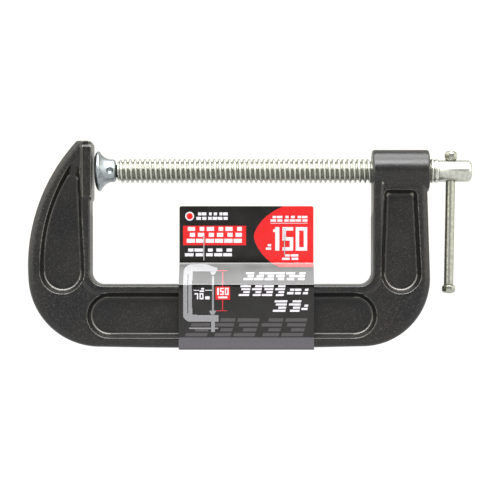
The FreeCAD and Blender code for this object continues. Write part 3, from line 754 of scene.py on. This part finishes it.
def drawing():
    """Small picture of a clamp with its two dimensions."""
    body = [box(2.7, 20.0, 7.9, 46.0), box(5.6, 47.0, 23.1, 49.2), box(5.6, 17.0, 23.9, 20.9),
            disc(7.6, 46.3, 4.9), disc(6.9, 21.2, 4.2),
            [(5.6, 49.0), (23.1, 49.0), (16.0, 51.3), (8.0, 51.3)]]
    inside = [box(8.2, 21.2, 25.0, 46.9), box(5.2, 22.0, 5.7, 45.5)]
    spindle = [box(20.0, 23.5, 21.1, 44.2), [(18.5, 46.9), (19.6, 44.9), (21.3, 44.9), (22.4, 46.9)],
               [(18.3, 23.6), (19.4, 21.2), (21.4, 21.2), (22.5, 23.6)], box(19.5, 10.8, 21.7, 17.2),
               box(6.3, 12.6, 23.7, 13.4)]
    throat = [box(8.9, 35.6, 12.2, 36.0), box(15.8, 35.6, 19.8, 36.0)] + bars(12.5, 34.8, 15.5, 37.2, 1, 2)
    throat += numeral("7", 9.4, 30.4, 2.3, 3.7, 0.75) + numeral("0", 12.5, 30.4, 2.4, 3.7, 0.75)
    throat += [box(15.9, 30.4, 18.6, 32.2)]
    height = [box(26.1, 23.7, 26.6, 46.4), box(22.8, 47.2, 29.1, 47.5), box(22.8, 23.4, 29.1, 23.7),
              box(22.1, 30.2, 30.8, 38.0)]
    figures = numeral("1", 23.0, 33.0, 1.1, 4.3, 1.0) + numeral("5", 24.8, 33.0, 2.2, 4.3, 0.75)
    figures += numeral("0", 27.7, 33.0, 2.3, 4.3, 0.75) + [box(23.8, 31.0, 29.2, 32.1)]
    return [(PALE, body), (BLACK, inside), (PALE, spindle), (WHITE, throat), (RED, height), (WHITE, figures)]


def back_print():
    """Plain generic print on the back: a title bar, a panel and lines of bars."""
    layers = [(RED, [box(3.0, 72.0, 78.3, 82.5)]), (WHITE, bars(6.0, 75.0, 50.0, 79.6, 8, 2))]
    layers.append((PALE, [box(3.0, 8.5, 78.3, 38.5)]))
    for z in range(12, 37, 4):
        layers.append((DARK, bars(6.0, z, 75.0, z + 1.2, 9, 1)))
    return layers


class Card:
    """The sleeve, laid out flat with x along the clamp and y round its section, then folded up."""

    def __init__(self):
        self.profile = card_profile()
        self.reach = [0.0]
        for (a, _), (b, _) in zip(self.profile, self.profile[1:]):
            self.reach.append(self.reach[-1] + (b - a).length)
        self.length = self.reach[-1]
        self.bm = bmesh.new()
        self.lay_out()

    def lay_out(self):
        """Flat sheet with rounded corners, cut where it bends and into a grid."""
        low, high = (x * MM for x in CARD_X)
        r = CARD_ROUND
        sheet = []
        for x, y, quarter in ((high - r, self.length - r, 0), (low + r, self.length - r, 1), (low + r, r, 2),
                              (high - r, r, 3)):
            for i in range(ARC_STEPS + 1):
                angle = math.pi / 2 * (quarter + i / ARC_STEPS)
                sheet.append(self.bm.verts.new((x + r * math.cos(angle), y + r * math.sin(angle), 0)))
        self.bm.faces.new(sheet)
        for x in steps(low, high, CARD_GRID):
            self.cut(self.bm.faces, (x, 0, 0), (1, 0, 0))
        for i, y in enumerate(self.reach[1:], 1):
            for level in [y] + steps(self.reach[i - 1], y, CARD_GRID):
                self.cut(self.bm.faces, (0, level, 0), (0, 1, 0))

    def cut(self, faces, point, normal):
        """Cut faces along a line and return the faces that are left of them."""
        faces = list(faces)
        parts = set(faces)
        for face in faces:
            parts.update(face.edges)
            parts.update(face.verts)
        result = bmesh.ops.bisect_plane(self.bm, geom=list(parts), dist=TINY, plane_co=point,
                                        plane_no=normal)
        return [part for part in result["geom"] if isinstance(part, bmesh.types.BMFace)]

    def lay_ink(self, ink, polygon):
        """Give an ink to what lies inside a convex polygon of (x, y) points."""
        low = [min(p[i] for p in polygon) for i in (0, 1)]
        high = [max(p[i] for p in polygon) for i in (0, 1)]
        faces = []
        for face in self.bm.faces:
            xs = [v.co.x for v in face.verts]
            ys = [v.co.y for v in face.verts]
            if min(xs) < high[0] and max(xs) > low[0] and min(ys) < high[1] and max(ys) > low[1]:
                faces.append(face)
        middle = Vector((sum(p[0] for p in polygon), sum(p[1] for p in polygon))) / len(polygon)
        edges = []
        for a, b in zip(polygon, polygon[1:] + polygon[:1]):
            normal = Vector((b[1] - a[1], a[0] - b[0], 0.0))
            if normal.length > TINY:
                side = (middle - Vector(a)).dot(normal.xy)
                edges.append((Vector((*a, 0.0)), -normal if side > 0 else normal))
        for point, normal in edges:
            faces = self.cut(faces, point, normal)
        for face in faces:
            centre = face.calc_center_median()
            if all((centre - point).dot(normal) < 0 for point, normal in edges):
                face.material_index = ink

    def down(self, z):
        """Distance round the section from the front's top edge to a height on the front."""
        for i in range(len(self.profile) - 1):
            above = self.profile[i][0].y
            below = self.profile[i + 1][0].y
            if above >= z > below:
                return self.reach[i] + (self.reach[i + 1] - self.reach[i]) * (above - z) / (above - below)
        return 0.0 if z > CARD_HEIGHT * MM / 2 else self.length / 2

    def print_side(self, layers, back):
        """Lay down layers of shapes given in (u, z) mm, seen from the front or from the back."""
        low, high = (x * MM for x in CARD_X)
        for ink, shapes in layers:
            for shape in shapes:
                if back:
                    polygon = [(high - u * MM, self.length - self.down(z * MM)) for u, z in shape]
                else:
                    polygon = [(low + u * MM, self.down(z * MM)) for u, z in shape]
                self.lay_ink(ink, polygon)

    def at(self, y):
        """Point of the centre line and outward normal at a distance round the section."""
        i = 0
        while i < len(self.reach) - 2 and self.reach[i + 1] < y:
            i += 1
        share = (y - self.reach[i]) / (self.reach[i + 1] - self.reach[i])
        point, normal = self.profile[i]
        other_point, other_normal = self.profile[i + 1]
        return point.lerp(other_point, share), normal.lerp(other_normal, share).normalized()

    def fold(self):
        """Bend the sheet round the section and give it the card's thickness."""
        bm = self.bm
        inner = {}
        half = CARD_THICKNESS / 2
        rim = [(e.verts[0], e.verts[1]) for e in bm.edges if e.is_boundary]
        sheet = list(bm.faces)
        for vert in list(bm.verts):
            x, y, _ = vert.co
            point, normal = self.at(y)
            outside = point + normal * half
            inside = point - normal * half
            vert.co = (x, outside.x, outside.y)
            inner[vert] = bm.verts.new((x, inside.x, inside.y))
        paper = [bm.faces.new([inner[v] for v in reversed(face.verts)]) for face in sheet]
        paper += [bm.faces.new([a, b, inner[b], inner[a]]) for a, b in rim]
        for face in paper:
            face.material_index = PAPER
        bmesh.ops.recalc_face_normals(bm, faces=bm.faces)
        return mesh_from("sleeve", bm)


def steps(low, high, largest):
    """Evenly spaced values between two ends, no further apart than the largest step."""
    count = math.ceil((high - low - TINY) / largest)
    return [low + (high - low) * i / count for i in range(1, count)]


def card_profile():
    """Points of the card's centre line in the YZ plane with outward normals, front leaf to back leaf."""
    half_path = [(Vector((y, z)) * MM, r * MM) for y, z, r in CARD_SIDE]
    whole = half_path + [(Vector((-p.x, p.y)), r) for p, r in reversed(half_path)]
    points = [whole[0][0]]
    for (before, _), (corner, radius), (after, _) in zip(whole, whole[1:], whole[2:]):
        points += rounded_corner(before, corner, after, radius)
    points.append(whole[-1][0])
    normals = []
    for i in range(len(points)):
        along = points[min(i + 1, len(points) - 1)] - points[max(i - 1, 0)]
        normals.append(Vector((along.y, -along.x)).normalized())
    return list(zip(points, normals))


def rounded_corner(before, corner, after, radius):
    """Points along the arc that rounds a corner."""
    to_before = (before - corner).normalized()
    to_after = (after - corner).normalized()
    half_turn = to_before.angle(to_after) / 2
    centre = corner + (to_before + to_after).normalized() * radius / math.sin(half_turn)
    start = corner + to_before * radius / math.tan(half_turn) - centre
    end = corner + to_after * radius / math.tan(half_turn) - centre
    points = []
    for i in range(ARC_STEPS + 1):
        arm = start.lerp(end, i / ARC_STEPS).normalized() * radius
        points.append(centre + arm)
    return points


def card_sleeve():
    """The printed sleeve: black card with a red panel, bars for its writing and a grey foot."""
    card = Card()
    foot = card.down(GREY_FOOT)
    low, high = (x * MM for x in CARD_X)
    card.lay_ink(GREY, [(low, foot), (high, foot), (high, card.length - foot), (low, card.length - foot)])
    card.print_side(front_print(), back=False)
    card.print_side(back_print(), back=True)
    mesh = card.fold()
    shade(mesh, sharp_deg=30)
    materials = [ink(name, colour) for name, colour in INKS]
    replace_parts(piece("sleeve_card", mesh, "sleeve", "printed_card", *materials), "card_sleeve")


# ---------------------------------------------------------------- build

def main():
    """Build the stage and every piece."""
    camera()
    floor()
    studio()
    casting()
    screw()
    swivel_pad()
    t_bar()
    card_sleeve()
    wire = plating("staple_plating")
    for name, x, low_z, high_z in STAPLES:
        staple(name, x, low_z, high_z, wire)
    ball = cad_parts["thrust_ball"]
    ball.data.materials.clear()
    ball.data.materials.append(plating("ball_steel"))


main()
